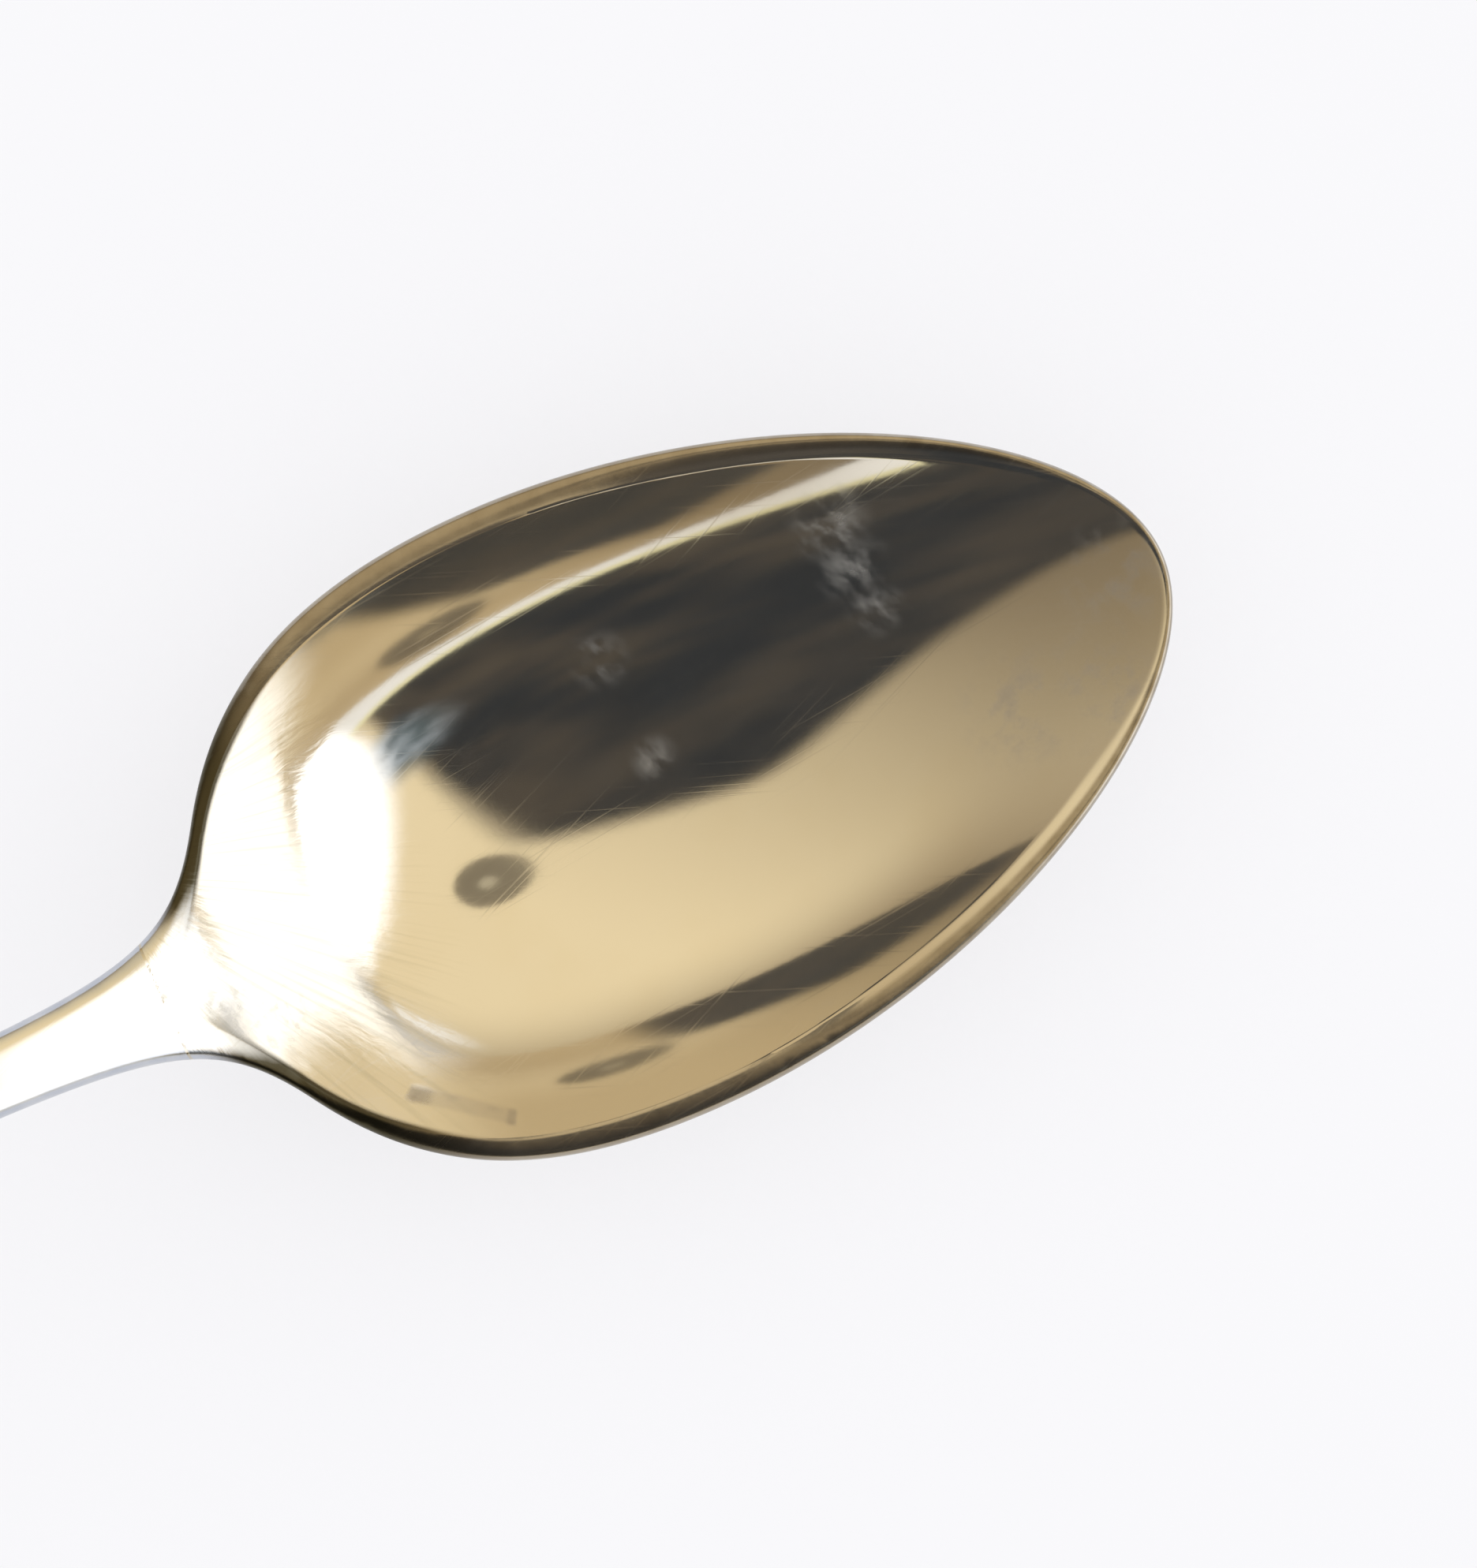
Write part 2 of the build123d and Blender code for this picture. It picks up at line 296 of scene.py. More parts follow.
def recessAt(x, y):
    # plain worn recess: shallow, with a deeper foot at both ends
    form = bowl["recess"]
    along = (x - form["x"]) * cos(form["turn"]) + (y - form["y"]) * sin(form["turn"])
    over = (y - form["y"]) * cos(form["turn"]) - (x - form["x"]) * sin(form["turn"])
    inside = smooth(form["long"] - np.abs(along), *form["soft"])
    inside = inside * smooth(form["wide"] - np.abs(over), *form["soft"])
    feet = smooth(form["long"] + along, *form["backFoot"]) + smooth(form["long"] - along, *form["frontFoot"])
    return inside * (form["shallow"] + (1 - form["shallow"]) * feet)


def makeBowl():
    rim = rimPoints()
    count = len(rim)
    centre = np.array([bowl["centre"], 0])
    ray = rim - centre
    atEnd = np.clip(landShare(rim[:, 0], rim[:, 1]), 0, 1)

    def reachTo(share):
        # how far along each ray the land's share is reached
        low, high = np.zeros(count), np.ones(count)
        for _ in range(bowl["halvings"]):
            middle = (low + high) / 2
            point = centre + ray * middle[:, None]
            below = landShare(point[:, 0], point[:, 1]) < share
            low, high = np.where(below, middle, low), np.where(below, high, middle)
        return (low + high) / 2

    inner = reachTo(np.zeros(count))
    rings = []
    for k in range(bowl["dishRings"]):
        rings.append((inner * (1 - (1 - k / bowl["dishRings"]) ** bowl["ringPower"]), 0.0))
    for k in range(bowl["landRings"] + 1):
        share = sin(pi / 2 * k / bowl["landRings"])
        at = reachTo(atEnd * share) if k < bowl["landRings"] else np.ones(count)
        rings.append((np.maximum(at, inner), 0.0))
    for k in range(1, bowl["edgeRings"] + 1):
        down = k / bowl["edgeRings"]
        rings.append((np.full(count, 1 - bowl["edgeIn"] * down**3), down))
    for k in range(bowl["backRings"] + 1):
        rings.append((np.full(count, bowl["backReach"] * (1 - k / bowl["backRings"])), 1.0))
    reach = np.array([ring[0] for ring in rings])
    under = np.array([ring[1] for ring in rings])

    def place(column, row):
        at = reach[row, column]
        x = centre[0] + ray[column, 0] * at
        y = centre[1] + ray[column, 1] * at
        share = landShare(x, y)
        top = topOfBowl(x, y)
        flat = np.column_stack([x, y, np.zeros(len(x))])
        heel = smooth(x, *bowl["heel"])
        inside = smooth(share, *bowl["wavesIn"])
        top += inside * bowl["waves"][0] * waves(flat, bowl["waves"][1], 1)
        top += inside * heel * bowl["heelWaves"][0] * waves(flat, bowl["heelWaves"][1], 2)
        recess = recessAt(x, y)
        top -= bowl["recess"]["deep"] * recess
        for nickX, nickY, size, deep in bowl["nicks"]:
            top -= deep * np.exp(-((x - nickX) ** 2 + (y - nickY) ** 2) / size**2)
        back = -softMin(-backHeight(x, y), np.zeros(len(x)), bowl["flatRound"])
        low = under[row]
        z = top * (1 - low) + back * low
        upper = low < 0.5
        # the rim's mark: tarnish and wear, with painted shade for the dim floor seen in the edge
        worn = share + bowl["neckWornAndShaded"] * smooth(x, *bowl["wallFrom"][::-1])
        onBack = bowl["backWear"] * smooth(share, *bowl["backWorn"])
        wearAndEdgeShade = np.where(upper, smooth(worn, *bowl["landWornAndShaded"]), onBack)
        # near the neck the mark moves to the bar's sides, where it paints shade
        side = smooth(np.abs(y) / np.sqrt(np.maximum(widthSquare(x), 0.01)), *bowl["sideWornAndShaded"])
        wearAndEdgeShade = side + (wearAndEdgeShade - side) * smooth(x, xNeck, xNeck + bowl["neckRun"])
        depth = depthShare(innerSquare(x) - y**2, innerSquare(xWide))
        # mask of the painted shade up the wall
        paintedWallShade = smooth(depth, *bowl["wallDepth"]) * smooth(x, *bowl["wallFrom"]) * smooth(x, *bowl["wallTo"])
        marks = {"wearAndEdgeShade": wearAndEdgeShade, "mark": np.where(upper, recess, 0), "upper": upper * 1.0,
                 "paintedWallShade": np.where(upper, paintedWallShade, 0)}
        return np.column_stack([x, y, z]), marks

    piece = wrapGrid("bowl_shell", count, len(rings) - 1, place)
    print("bowl:", len(piece.data.polygons), "faces")
    return piece


# the stem: a rounded bar, and a tongue lapped under the heel that ends in a drop
stem = {
    "around": 80, "barRings": 300, "tailRings": 40, "tailStart": 0.25, "tongueRings": 60,
    "power": 2.4, "tonguePower": 2.0, "jointRun": 12.0, "heelRun": 3.0,
    # the last pair is where the sides get wear and a painted shade
    "waves": (0.004, 4.0), "wavesFrom": (1.0, 6.0), "sideWornAndShaded": (0.60, 0.90),
}


def underLine():
    lapDrop = depthAt(xJoint, backDepth) * outlineShare(xJoint)
    lap = edgeHeight(xJoint) + lapDrop + spoon["solderGap"] + spoon["tongueThickness"]
    lapBottom = np.array([xJoint, topHeight(xJoint) - lap])
    archBottom = np.array([xArch, spoon["archHeight"] - spoon["archThickness"]])
    tailBottom = np.array([xTail, -tailSink])
    riseUp = topHeight(xJoint - spoon["riseReach"]) - topHeight(xJoint)
    return lineOf([
        bezier([lapBottom, lapBottom + (-spoon["riseReach"], riseUp),
                archBottom + (spoon["archToBowl"], 0), archBottom]),
        bezier([archBottom, archBottom - (spoon["archToTail"], 0),
                tailBottom + tailAlong * spoon["tailReach"], tailBottom])[1:],
    ])


def sectionTurn(count, power, rest=0.0):
    # unit section, across and up: an ellipse at power 1, flatter on top above that
    angle = np.arange(count) * 2 * pi / count
    share = (np.cos(angle) ** 2 + rest) / (1 + rest)
    return np.cos(angle), np.sign(np.sin(angle)) * np.sqrt(1 - share**power)


def barSection(x, under, count):
    # section of the stem, shaped like the end of the bowl's tang at the joint
    away = 1 - min(1.0, max(0.0, (xJoint - x) / stem["jointRun"]))
    rest = -float(innerSquare(xSeam) / widthSquare(xSeam))
    across, up = sectionTurn(count, stem["power"] + (bowl["neckPower"] - stem["power"]) * away, rest * away)
    top = float(topHeight(x))
    low = float(np.interp(x, under[:, 0], under[:, 1]))
    turn = max(0.0, 1 - (x - xTail) / spoon["tailRound"])
    thick = (top - low) * sqrt(max(0.0, 1 - turn**2))
    upper = thick / 2 + (bowl["landDrop"] * float(edgeHeight(xJoint)) - thick / 2) * away
    side = (top + low) / 2 + thick / 2 - upper
    wide = sqrt(max(0.0, float(widthSquare(x))))
    z = side + np.where(up > 0, up * upper, up * (thick - upper))
    return np.column_stack([np.full(count, x), across * wide, z])


def tongueSection(x, gap, thick, spread, count):
    # section of the tongue, or of the film over it, following the bowl's back
    across, up = sectionTurn(count, stem["tonguePower"])
    halfJoint = sqrt(float(widthSquare(xJoint)))
    xTurn = xDrop - spoon["dropRadius"]
    along = min(1.0, (x - xJoint) / (xTurn - xJoint))
    wide = halfJoint + (spoon["dropRadius"] - halfJoint) * along + spread
    if x > xTurn:
        wide = sqrt(max(0.0, (spoon["dropRadius"] + spread) ** 2 - (x - xTurn) ** 2))
    y = across * wide
    place = np.full(count, x)
    z = backHeight(place, y) - gap - thick * (1 - up) / 2
    return np.column_stack([place, y, z])


def closedRings(name, rings, wave=(0.0, 1.0)):
    # rings joined to a skin, with a point at each end
    first = np.tile(rings[0].mean(axis=0), (len(rings[0]), 1))
    last = np.tile(rings[-1].mean(axis=0), (len(rings[-1]), 1))
    grid = np.array([first] + rings + [last])
    angle = np.arange(len(rings[0])) * 2 * pi / len(rings[0])

    def place(column, row):
        points = grid[row, column].copy()
        points[:, 2] += wave[0] * waves(points, wave[1], 3) * smooth(points[:, 0] - xTail, *stem["wavesFrom"])
        # the sides get the mark that the materials paint with shade and roughen
        side = smooth(np.abs(np.cos(angle[column])), *stem["sideWornAndShaded"])
        return points, {"wearAndEdgeShade": side, "upper": (np.sin(angle[column]) > 0.01) * 1.0}

    piece = wrapGrid(name, grid.shape[1], grid.shape[0] - 1, place)
    print(name, len(piece.data.polygons), "faces")
    return piece


def makeStem():
    under = underLine()
    count = stem["around"]
    rings = []
    for k in range(stem["tailRings"]):
        turn = pi / 2 * (k + stem["tailStart"]) / stem["tailRings"]
        rings.append(barSection(xTail + spoon["endFromTail"] * (1 - cos(turn)), under, count))
    for k in range(stem["barRings"] + 1):
        rings.append(barSection(xEnd + (xJoint - xEnd) * k / stem["barRings"], under, count))
    # the tongue starts with the bar's lower half and thins to the drop
    bar = barSection(xJoint, under, count)[:, 2] - backHeight(xJoint, 0.0)
    for k in range(stem["tongueRings"] + 1):
        x = xJoint + (xDrop - xJoint) * sin(pi / 2 * k / stem["tongueRings"])
        along = (x - xJoint) / (xDrop - xJoint)
        thick = spoon["tongueThickness"] + (spoon["dropThickness"] - spoon["tongueThickness"]) * along
        ring = tongueSection(x, spoon["solderGap"], thick, 0.0, count)
        roof = backHeight(ring[:, 0], ring[:, 1]) - spoon["solderGap"]
        start = np.minimum(bar + backHeight(x, 0.0), roof)
        ring[:, 2] = start + (ring[:, 2] - start) * smooth(x, xJoint, xJoint + stem["heelRun"])
        rings.append(ring)
    return closedRings("stem_bar", rings, stem["waves"])


# the solder: a thin collar across the seam, and a film under the heel with a small bead round the tongue
solder = {
    "around": 80, "filmRings": 44, "spread": 0.1, "spreadRun": 3.0,
    "collarIn": 0.002, "lapIn": 0.01, "filmMore": 0.03,
}


def makeSolder():
    under = underLine()
    count = solder["around"]
    rings = []
    for x in (xJoint, xSeam):
        ring = barSection(x, under, count) - (0, 0, solder["collarIn"])
        ring[:, 2] = np.maximum(ring[:, 2], backHeight(ring[:, 0], ring[:, 1]) - spoon["solderGap"])
        rings.append(ring)
    for k in range(solder["filmRings"] + 1):
        x = xSeam + (xDrop + solder["spread"] - xSeam) * sin(pi / 2 * k / solder["filmRings"])
        spread = solder["spread"] * min(1.0, (x - xSeam) / solder["spreadRun"])
        thick = spoon["solderGap"] + solder["filmMore"]
        rings.append(tongueSection(x, -solder["lapIn"], thick, spread, count))
    return closedRings("solder_film", rings)


def link(tree, source, target):
    tree.links.new(source, target)


def feed(tree, socket, value):
    # a number, a colour or another node's output into a socket
    if isinstance(value, (int, float)):
        socket.default_value = value
    elif isinstance(value, tuple):
        socket.default_value = value if len(value) == len(socket.default_value) else (*value, 1)
    else:
        link(tree, value, socket)


def math(tree, operation, first, second=0.0):
    node = tree.nodes.new("ShaderNodeMath")
    node.operation = operation
    feed(tree, node.inputs[0], first)
    feed(tree, node.inputs[1], second)
    return node.outputs[0]


def times(tree, value, *others):
    for other in others:
        value = math(tree, "MULTIPLY", value, other)
    return value


def plus(tree, value, *others):
    for other in others:
        value = math(tree, "ADD", value, other)
    return value


def step(tree, value, start, end):
    # smooth rise from 0 at start to 1 at end
    node = tree.nodes.new("ShaderNodeMapRange")
    node.interpolation_type = "SMOOTHSTEP"
    feed(tree, node.inputs["Value"], value)
    down = start > end
    node.inputs["From Min"].default_value = min(start, end)
    node.inputs["From Max"].default_value = max(start, end)
    node.inputs["To Min"].default_value = 1.0 if down else 0.0
    node.inputs["To Max"].default_value = 0.0 if down else 1.0
    return node.outputs["Result"]


def vector(tree, operation, first, second, output="Vector"):
    node = tree.nodes.new("ShaderNodeVectorMath")
    node.operation = operation
    feed(tree, node.inputs[0], first)
    feed(tree, node.inputs[1], second)
    return node.outputs[output]


def parts(tree, value):
    # the x, y and z of a vector
    node = tree.nodes.new("ShaderNodeSeparateXYZ")
    link(tree, value, node.inputs[0])
    return node.outputs["X"], node.outputs["Y"], node.outputs["Z"]


def joined(tree, *values):
    # a vector from its x, y and z
    node = tree.nodes.new("ShaderNodeCombineXYZ")
    for socket, value in zip(node.inputs, values):
        link(tree, value, socket)
    return node.outputs[0]


def mixColour(tree, share, below, above):
    node = tree.nodes.new("ShaderNodeMix")
    node.data_type = "RGBA"
    feed(tree, node.inputs[0], share)
    feed(tree, node.inputs[6], below)
    feed(tree, node.inputs[7], above)
    return node.outputs[2]


def mixShader(tree, share, below, above):
    node = tree.nodes.new("ShaderNodeMixShader")
    for socket, value in zip(node.inputs, (share, below, above)):
        link(tree, value, socket)
    return node.outputs[0]


def grain(tree, at, scale, detail):
    node = tree.nodes.new("ShaderNodeTexNoise")
    node.inputs["Scale"].default_value = scale
    node.inputs["Detail"].default_value = detail
    link(tree, at, node.inputs["Vector"])
    return node.outputs["Fac"]


def patches(tree, at, scale, detail, start, end):
    # soft-edged patches where the grain is high
    return step(tree, grain(tree, at, scale, detail), start, end)


def stretched(tree, at, turn, size):
    # coordinates turned about Z and scaled, so that grain runs in streaks
    node = tree.nodes.new("ShaderNodeMapping")
    node.vector_type = "TEXTURE"
    node.inputs["Rotation"].default_value = (0, 0, radians(turn))
    node.inputs["Scale"].default_value = size
    link(tree, at, node.inputs["Vector"])
    return node.outputs["Vector"]


def blobs(tree, at, places, upper):
    # soft patches on the upper side, given by their middles and radii
    share = 0.0
    flat = vector(tree, "MULTIPLY", at, (1, 1, 0))
    for x, y, radius in places:
        away = vector(tree, "DISTANCE", flat, (x, y, 0), "Value")
        share = math(tree, "MAXIMUM", share, step(tree, away, radius, 0.0))
    return times(tree, share, upper)


def newMaterial(name):
    material = bpy.data.materials.new(name)
    material.use_nodes = True
    return material, material.node_tree, material.node_tree.nodes["Principled BSDF"]


def millimetres(tree):
    coords = tree.nodes.new("ShaderNodeTexCoord")
    return vector(tree, "MULTIPLY", coords.outputs["Object"], (1000, 1000, 1000))


def attribute(tree, name):
    node = tree.nodes.new("ShaderNodeAttribute")
    node.attribute_name = name
    return node.outputs["Fac"]


bumpUnit = 0.00001  # heights in materials are counted in hundredths of a millimetre


def bumped(tree, shader, height, strength):
    bump = tree.nodes.new("ShaderNodeBump")
    bump.inputs["Strength"].default_value = strength
    bump.inputs["Distance"].default_value = bumpUnit
    link(tree, height, bump.inputs["Height"])
    link(tree, bump.outputs["Normal"], shader.inputs["Normal"])


# polished silver: places are millimetres along and across the spoon
# grains are scale and detail, patches the same with the two levels where they fade in
silverLook = {
    # the wall colour is a painted shade, the rim and shoulder colours tarnish with painted shade, the stem's
    # side colour a painted reflection of the shaded floor
    "clean": (0.91, 0.885, 0.83), "warm": (0.85, 0.79, 0.67), "paintedWallShade": (0.62, 0.56, 0.46),
    "rim": (0.34, 0.29, 0.22), "shoulderTarnishAndShade": (0.07, 0.06, 0.035), "stemSideShade": (0.50, 0.53, 0.60),
    "dirt": (0.30, 0.25, 0.18), "dull": (0.60, 0.59, 0.54), "film": (0.72, 0.71, 0.70),
    "worn": (0.56, 0.55, 0.47),
    "tones": (0.12, 3, 0.42, 0.75), "toneShare": 0.4,
    "rimGrain": (0.9, 3), "rimPatchy": (0.6, 0.55),
    # where the shoulders' tarnish and painted shade fade in and out
    "shoulderDarkFrom": (32.0, 26.0), "shoulderDarkTo": (20.5, 22.5), "shoulderDarkMore": 0.4,
    "specks": (0.8, 4, 0.45, 0.75), "markPatchy": (0.4, 0.55),
    "spots": [(66.8, 0.0, 3.2), (64.0, -4.6, 4.0), (60.5, -3.8, 3.6)], "spotShare": 0.5,
    "pits": [(20.9, 0.4, 1.7), (22.6, -1.2, 1.8), (24.5, -3.0, 2.0)],
    "pitting": (1.6, 4, 0.46, 0.70), "pitShare": 0.7,
    "smudges": [(56.0, 7.4, 2.3), (56.2, 5.2, 2.1), (56.4, 3.2, 1.7), (43.9, 6.2, 1.7), (44.4, 1.0, 1.4)],
    "cloudRun": (24, (0.8, 1.6, 1)), "clouds": (1.0, 5, 0.38, 0.72), "hazeShare": 0.7,
    "veil": 0.018, "wallVeil": 0.05, "hazeVeil": 0.3, "dirtVeil": 0.3,
    "scratches": [(6, (11, 0.10, 40)), (-20, (7, 0.08, 40)), (22, (14, 0.12, 40))],
    "scratchLines": (1.0, 0.0, 0.70, 0.80),
    "fan": (19.0, 7.0, 0.0), "fanFrom": (34.0, 25.0), "fanTo": (19.0, 22.0), "fanShade": 0.5,
    "streaks": {"turns": 22.0, "run": 0.3, "grain": (1.0, 5), "wander": (0.3, 2), "wanderBy": 3.0,
                "cloud": (0.5, 4), "cloudBy": 1.2},
    "hairs": {"turns": 60.0, "run": 0.16, "patches": (1.0, 3, 0.48, 0.72)},
    "roughness": 0.05, "roughGrain": (0.5, 3),
    "rougher": {"grain": 0.06, "haze": 0.30, "wearAndEdgeShade": 0.10, "scratch": 0.06,
                "dirt": 0.25, "pits": 0.2, "neck": 0.12},
    "bump": 1.0, "skinGrain": (3.0, 3), "wornGrain": (1.4, 3),
    "raised": {"fan": 3.0, "scratch": -0.02, "skin": 0.06, "pits": -0.35, "wornSkin": 0.5},
}


def weighed(tree, total, layers, amounts):
    # a sum of layers, each by its own amount
    for key, amount in amounts.items():
        total = plus(tree, total, times(tree, layers[key], amount))
    return total


def fanStreaks(tree, at):
    # broad streaks and thin straight hairs, spreading from a point beside the neck
    broad, fine = silverLook["streaks"], silverLook["hairs"]
    along, over, _ = parts(tree, vector(tree, "SUBTRACT", at, silverLook["fan"]))
    angle = math(tree, "ARCTAN2", over, along)
    wander = times(tree, grain(tree, at, *broad["wander"]), broad["wanderBy"])
    turned = plus(tree, times(tree, angle, broad["turns"]), wander)
    polar = joined(tree, turned, times(tree, along, broad["run"]))
    cloud = times(tree, grain(tree, at, *broad["cloud"]), broad["cloudBy"])
    ray = joined(tree, times(tree, angle, fine["turns"]), times(tree, along, fine["run"]))
    return plus(tree, grain(tree, polar, *broad["grain"]), cloud), patches(tree, ray, *fine["patches"])


def silverFinish():
    look = silverLook
    material, tree, shader = newMaterial("polishedSilver")
    at = millimetres(tree)
    along = parts(tree, at)[0]
    wearAndEdgeShade, mark, upper, paintedWallShade = (attribute(tree, key) for key in ("wearAndEdgeShade", "mark", "upper", "paintedWallShade"))

    # silver in two tones, and painted darker and duller up the wall: a painted shade standing in for the
    # dimmer reflection there
    tone = times(tree, patches(tree, at, *look["tones"]), look["toneShare"])
    colour = mixColour(tree, tone, look["clean"], look["warm"])
    colour = mixColour(tree, paintedWallShade, colour, look["paintedWallShade"])

    # tarnish on the rim, with painted shade for the dim floor seen in its edge; near black at the shoulders,
    # tarnish and painted shade; on the stem's sides a painted grey-blue reflection of the shaded floor
    patchy, least = look["rimPatchy"]
    tarnishAndShade = times(tree, wearAndEdgeShade, plus(tree, times(tree, grain(tree, at, *look["rimGrain"]), patchy), least))
    pastStem = step(tree, along, *look["shoulderDarkTo"])
    shoulderTarnishAndShade = times(tree, step(tree, along, *look["shoulderDarkFrom"]), pastStem)
    tarnishAndShade = plus(tree, tarnishAndShade, times(tree, shoulderTarnishAndShade, times(tree, wearAndEdgeShade, look["shoulderDarkMore"])))
    edge = mixColour(tree, shoulderTarnishAndShade, look["rim"], look["shoulderTarnishAndShade"])
    edge = mixColour(tree, pastStem, look["stemSideShade"], edge)
    colour = mixColour(tree, math(tree, "MINIMUM", 1.0, tarnishAndShade), colour, edge)

    # dirt in the recess and towards the tip, pits at the neck, hazy smudges
    speck = patches(tree, at, *look["specks"])
    dirt = times(tree, blobs(tree, at, look["spots"], upper), speck, look["spotShare"])
    patchy, least = look["markPatchy"]
    dirt = math(tree, "MAXIMUM", dirt, times(tree, mark, plus(tree, times(tree, speck, patchy), least)))
    colour = mixColour(tree, dirt, colour, look["dirt"])
    pits = times(tree, blobs(tree, at, look["pits"], upper), patches(tree, at, *look["pitting"]))
    colour = mixColour(tree, times(tree, pits, look["pitShare"]), colour, look["dull"])
    cloud = patches(tree, stretched(tree, at, *look["cloudRun"]), *look["clouds"])
    haze = times(tree, blobs(tree, at, look["smudges"], upper), cloud, look["hazeShare"])
    colour = mixColour(tree, haze, colour, look["film"])
    metallic = 1 - look["veil"]
    for layer, veil in ((paintedWallShade, look["wallVeil"]), (haze, look["hazeVeil"]), (dirt, look["dirtVeil"])):
        metallic = math(tree, "SUBTRACT", metallic, times(tree, layer, veil))
    link(tree, metallic, shader.inputs["Metallic"])

    # fine scratches all over, and a fan of broader ones spreading from the neck
    scratch = 0.0
    for turn, size in look["scratches"]:
        line = patches(tree, stretched(tree, at, turn, size), *look["scratchLines"])
        scratch = math(tree, "MAXIMUM", scratch, line)
    streaks, hairs = fanStreaks(tree, at)
    neck = times(tree, step(tree, along, *look["fanFrom"]), step(tree, along, *look["fanTo"]), upper)
    worn = times(tree, hairs, neck, look["fanShade"], math(tree, "SUBTRACT", 1.0, wearAndEdgeShade))
    link(tree, mixColour(tree, worn, colour, look["worn"]), shader.inputs["Base Color"])

    layers = {
        "haze": haze, "wearAndEdgeShade": wearAndEdgeShade, "scratch": scratch, "dirt": dirt, "pits": pits, "neck": neck,
        "grain": grain(tree, at, *look["roughGrain"]), "fan": times(tree, streaks, neck),
        "skin": grain(tree, at, *look["skinGrain"]),
        "wornSkin": times(tree, grain(tree, at, *look["wornGrain"]), wearAndEdgeShade),
    }
    link(tree, weighed(tree, look["roughness"], layers, look["rougher"]), shader.inputs["Roughness"])
    bumped(tree, shader, weighed(tree, 0.0, layers, look["raised"]), look["bump"])
    return material


solderLook = {
    # the side colour is a painted shade, as on the stem's sides
    "light": (0.90, 0.88, 0.83), "dark": (0.62, 0.60, 0.55), "side": (0.56, 0.52, 0.45),
    "pitting": (3.5, 4, 0.5, 0.68), "roughness": 0.12, "pitRoughness": 0.25, "bump": 0.6,
}


def solderFinish():
    look = solderLook
    material, tree, shader = newMaterial("dullSolder")
    pits = patches(tree, millimetres(tree), *look["pitting"])
    colour = mixColour(tree, pits, look["light"], look["dark"])
    # the sides painted darker: a painted shade matching the stem's sides
    colour = mixColour(tree, attribute(tree, "wearAndEdgeShade"), colour, look["side"])
    link(tree, colour, shader.inputs["Base Color"])
    rough = plus(tree, times(tree, pits, look["pitRoughness"]), look["roughness"])
    link(tree, rough, shader.inputs["Roughness"])
    bumped(tree, shader, times(tree, pits, -1.0), look["bump"])
    shader.inputs["Metallic"].default_value = 1.0
    return material


silver = silverFinish()
dull = solderFinish()
for make, node, slot, finish in (
    (makeBowl, "bowl", "silver", silver),
    (makeStem, "stem", "silver", silver),
    (makeSolder, "solder_seam", "solder", dull),
):
    piece = make()
    piece.data.materials.append(finish)
    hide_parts(node)
    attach(piece, "root")
print("pieces placed")


# the camera, straight above the bowl: millimetres, clips in metres, and the picture's scale at the rim
photo = {
    "turn": radians(-24.3), "x": 47.4, "y": -1.65, "above": 225.0, "pixelsPerMm": 28.3, "longSide": 1988,
    "near": 0.01, "far": 20.0,
}


def makeCamera():
    data = bpy.data.cameras.new("photoCamera")
    data.lens = photo["pixelsPerMm"] * photo["above"] * data.sensor_width / photo["longSide"]
    data.clip_start = photo["near"]
    data.clip_end = photo["far"]
    camera = bpy.data.objects.new("photoCamera", data)
    camera.location = (photo["x"] * mm, photo["y"] * mm, (rimHeight + photo["above"]) * mm)
    camera.rotation_euler = (0, 0, photo["turn"])
    bpy.context.scene.collection.objects.link(camera)
    bpy.context.scene.camera = camera
    print("camera placed")


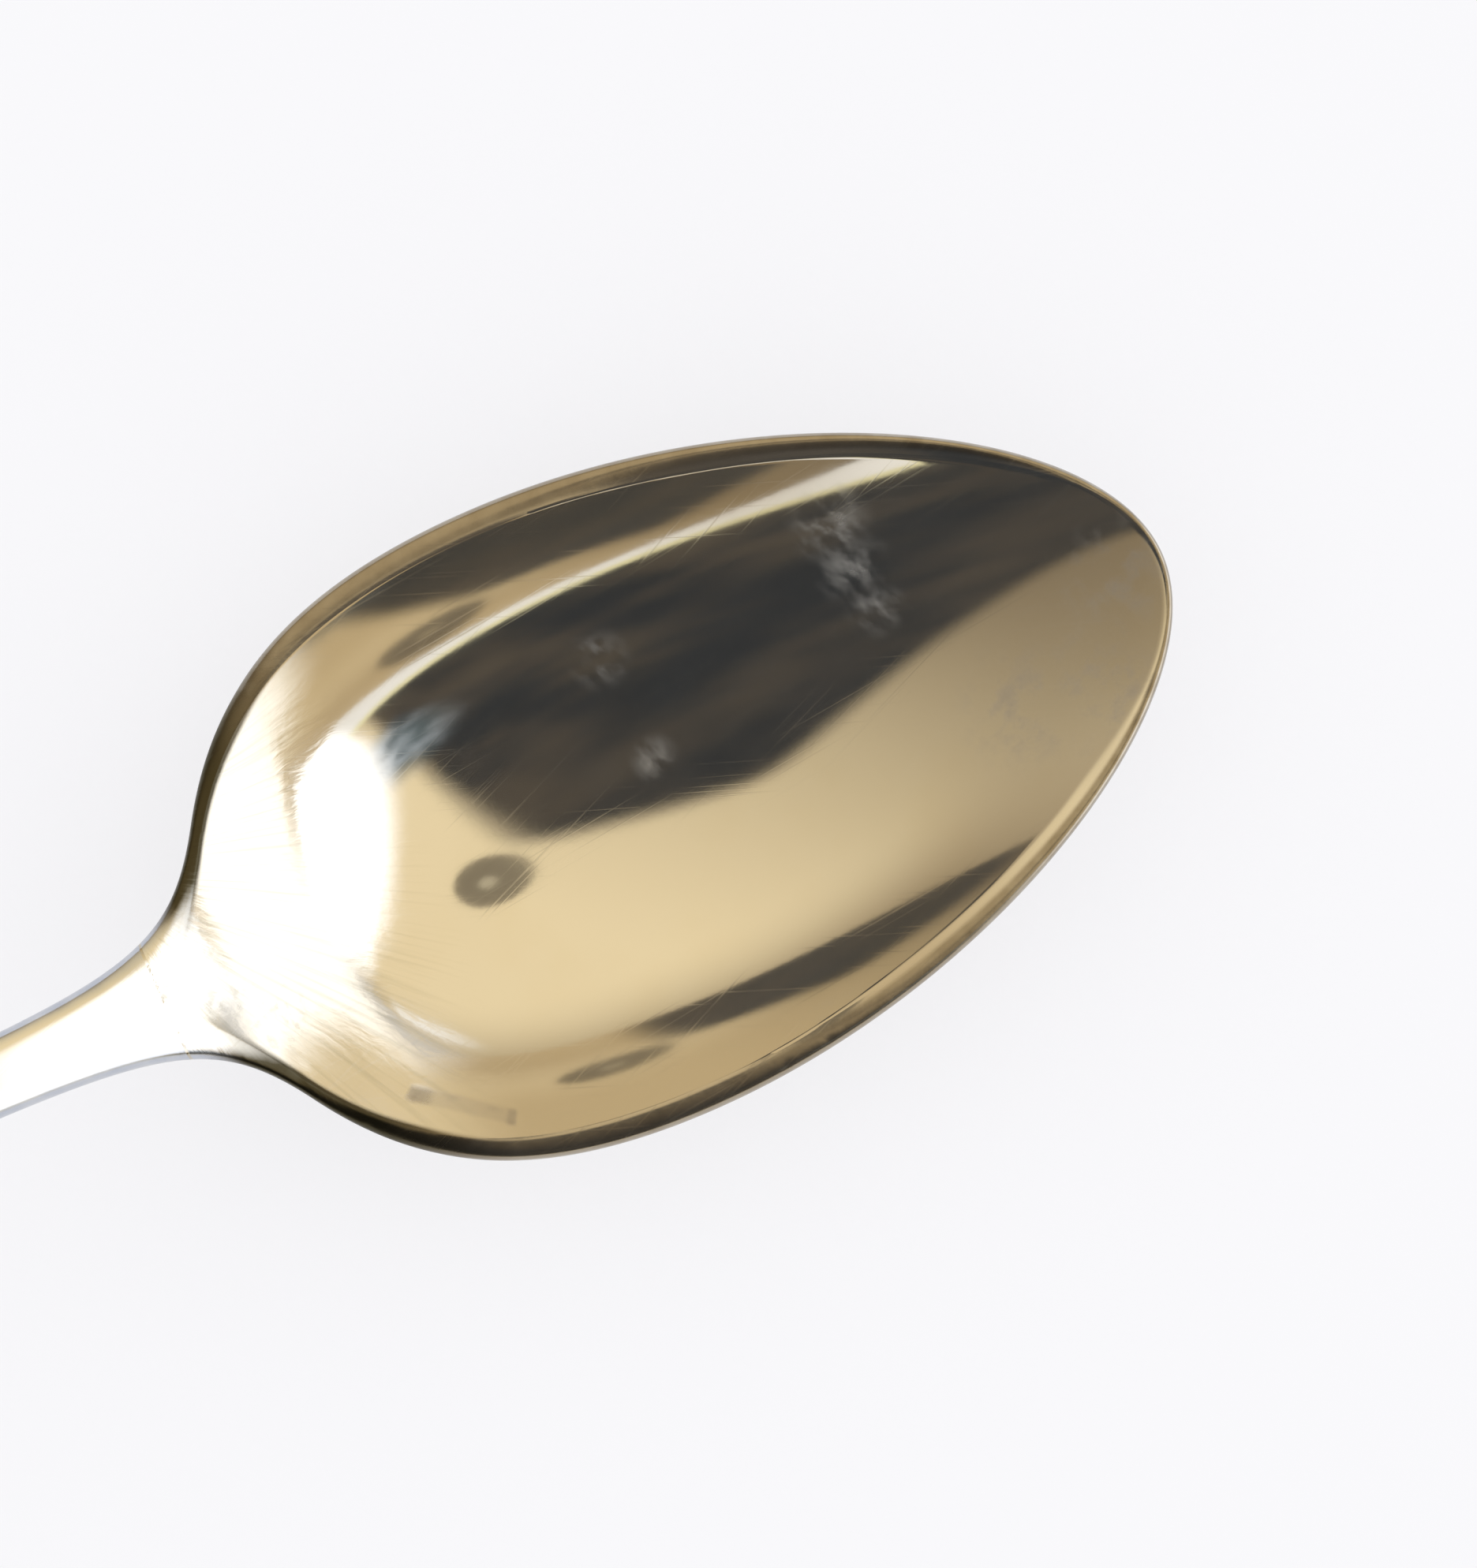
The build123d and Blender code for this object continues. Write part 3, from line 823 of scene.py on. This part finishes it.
# the studio: white light, and a warm wall with soft cards that only the spoon's polish shows
# an edge is a direction on the sky map (right, up, distance from zenith) and where the card fades in
studio = {
    "light": 1.0, "backdrop": (0.965, 0.96, 0.985), "lowest": 0.05,
    "wallLight": (0.87, 0.715, 0.445), "wallShade": (0.22, 0.165, 0.095),
    "wallFade": ((1, 0.8, 0), -0.58, 0.10),
    "mottleScale": 5.0, "mottling": (3, 0.35, 0.70),
    "cards": [
        # shade towards the horizon, and a grey patch in it
        {"colour": (0.42, 0.33, 0.20), "edges": [((0, 0, 1), 0.5, 1.05)]},
        {"colour": (0.62, 0.60, 0.57),
         "edges": [((0.49, 0.87, 0), 0.73, 0.80), ((0.87, -0.49, 0), -0.5, -0.3)]},
        # a round lamp and its middle
        {"colour": (0.22, 0.18, 0.115), "discs": [((0.03, 0.08, 0), 0.068, 0.060)]},
        {"colour": (0.50, 0.43, 0.29), "discs": [((0.03, 0.08, 0), 0.020, 0.010)]},
        # a plain dark card
        {"colour": (0.017, 0.019, 0.021), "mottle": (0.072, 0.057, 0.040),
         "edges": [((-0.12, -1, 0), -0.025, 0.02), ((-0.73, -0.68, 0), -0.03, 0.03),
                   ((0.94, -0.34, 0), -0.22, -0.17)]},
        # the pale horizon with a yellow edge, and a grey-blue patch
        {"colour": (0.85, 0.78, 0.45), "edges": [((0.25, 0, 1), 0.835, 0.85), ((0, -1, 0), 0.2, 0.4)]},
        {"colour": (0.93, 0.90, 0.85), "edges": [((0.25, 0, 1), 0.86, 0.88), ((0, -1, 0), 0.2, 0.4)]},
        {"colour": (0.09, 0.12, 0.13), "mottle": (0.45, 0.50, 0.55), "grain": 16.0,
         "discs": [((0.34, -0.34, 0), 0.16, 0.05)]},
        # the window, and a narrow strip of light beside it
        {"colour": (1.7, 1.7, 1.71), "discs": [((0.85, 0.0, 0), 0.63, 0.50)],
         "edges": [((0.585, 0.81, 0), -0.12, -0.05), ((0, -1, 0), -0.72, -0.32)]},
        {"colour": (1.1, 1.1, 1.1),
         "edges": [((0.49, 0.87, 0), 0.645, 0.67), ((-0.49, -0.87, 0), -0.72, -0.695),
                   ((-0.87, 0.49, 0), -0.05, 0.01), ((0.87, -0.49, 0), -0.42, -0.15)]},
    ],
}


def skyMap(tree):
    # flat map of the sky: zenith in the middle, horizon at distance 1
    coords = tree.nodes.new("ShaderNodeTexCoord")
    turn = tree.nodes.new("ShaderNodeMapping")
    turn.inputs["Rotation"].default_value = (0, 0, -photo["turn"])
    link(tree, coords.outputs["Generated"], turn.inputs["Vector"])
    x, y, z = parts(tree, turn.outputs["Vector"])
    under = math(tree, "MAXIMUM", plus(tree, z, 1.0), studio["lowest"])
    right = math(tree, "DIVIDE", x, under)
    up = math(tree, "DIVIDE", y, under)
    flat = joined(tree, right, up)
    return flat, joined(tree, right, up, vector(tree, "LENGTH", flat, (0, 0, 0), "Value"))


def rays(tree):
    # whether a ray comes straight from the camera, and whether off a polished surface
    path = tree.nodes.new("ShaderNodeLightPath")
    straight = math(tree, "MAXIMUM", path.outputs["Is Camera Ray"], path.outputs["Is Transmission Ray"])
    return straight, path.outputs["Is Glossy Ray"]


def makeWorld():
    world = bpy.data.worlds.new("studio")
    bpy.context.scene.world = world
    world.use_nodes = True
    tree = world.node_tree
    tree.nodes.clear()
    flat, sky = skyMap(tree)

    def fade(direction, start, end):
        return step(tree, vector(tree, "DOT_PRODUCT", sky, direction, "Value"), start, end)

    colour = mixColour(tree, fade(*studio["wallFade"]), studio["wallShade"], studio["wallLight"])
    for card in studio["cards"]:
        share = 1.0
        for direction, start, end in card.get("edges", []):
            share = times(tree, share, fade(direction, start, end))
        for centre, rim, full in card.get("discs", []):
            away = vector(tree, "DISTANCE", flat, centre, "Value")
            share = times(tree, share, step(tree, away, rim, full))
        face = card["colour"]
        if "mottle" in card:
            cloud = patches(tree, flat, card.get("grain", studio["mottleScale"]), *studio["mottling"])
            face = mixColour(tree, cloud, face, card["mottle"])
        colour = mixColour(tree, share, colour, face)
    straight, mirrored = rays(tree)
    level = studio["light"]
    colour = mixColour(tree, mirrored, (level, level, level), colour)
    colour = mixColour(tree, straight, colour, studio["backdrop"])
    background = tree.nodes.new("ShaderNodeBackground")
    link(tree, colour, background.inputs["Color"])
    output = tree.nodes.new("ShaderNodeOutputWorld")
    link(tree, background.outputs[0], output.inputs["Surface"])
    print("studio light ready")


# the floor: a pale disc, radius in metres, a hair under the spoon and clear when seen from below
floorLook = {
    "radius": 4.0, "corners": 96, "below": 0.02, "tones": ((0.92, 0.92, 0.94), (0.95, 0.95, 0.965)),
    "grain": (0.02, 3), "roughness": 0.9, "glow": 0.6, "shine": 0.2,
}


def floorFinish():
    look = floorLook
    material, tree, shader = newMaterial("paleFloor")
    tone = mixColour(tree, grain(tree, millimetres(tree), *look["grain"]), *look["tones"])
    link(tree, tone, shader.inputs["Base Color"])
    shader.inputs["Roughness"].default_value = look["roughness"]
    shader.inputs["Specular IOR Level"].default_value = 0.0
    glow = tree.nodes.new("ShaderNodeEmission")
    glow.inputs["Color"].default_value = (*studio["backdrop"], 1)
    straight, mirrored = rays(tree)
    share = math(tree, "MAXIMUM", times(tree, straight, look["glow"]), times(tree, mirrored, look["shine"]))
    lit = mixShader(tree, share, shader.outputs[0], glow.outputs[0])
    side = tree.nodes.new("ShaderNodeNewGeometry")
    clear = tree.nodes.new("ShaderNodeBsdfTransparent")
    oneSided = mixShader(tree, side.outputs["Backfacing"], lit, clear.outputs[0])
    link(tree, oneSided, tree.nodes["Material Output"].inputs["Surface"])
    return material


def makeFloor():
    mesh = bmesh.new()
    bmesh.ops.create_circle(mesh, cap_ends=True, segments=floorLook["corners"], radius=floorLook["radius"])
    bmesh.ops.translate(mesh, verts=mesh.verts, vec=(0, 0, -floorLook["below"] * mm))
    data = bpy.data.meshes.new("floor")
    mesh.to_mesh(data)
    mesh.free()
    floor = bpy.data.objects.new("floor", data)
    bpy.context.scene.collection.objects.link(floor)
    floor.data.materials.append(floorFinish())
    print("floor laid")


makeCamera()
makeWorld()
makeFloor()
bpy.context.scene.view_settings.view_transform = "Standard"
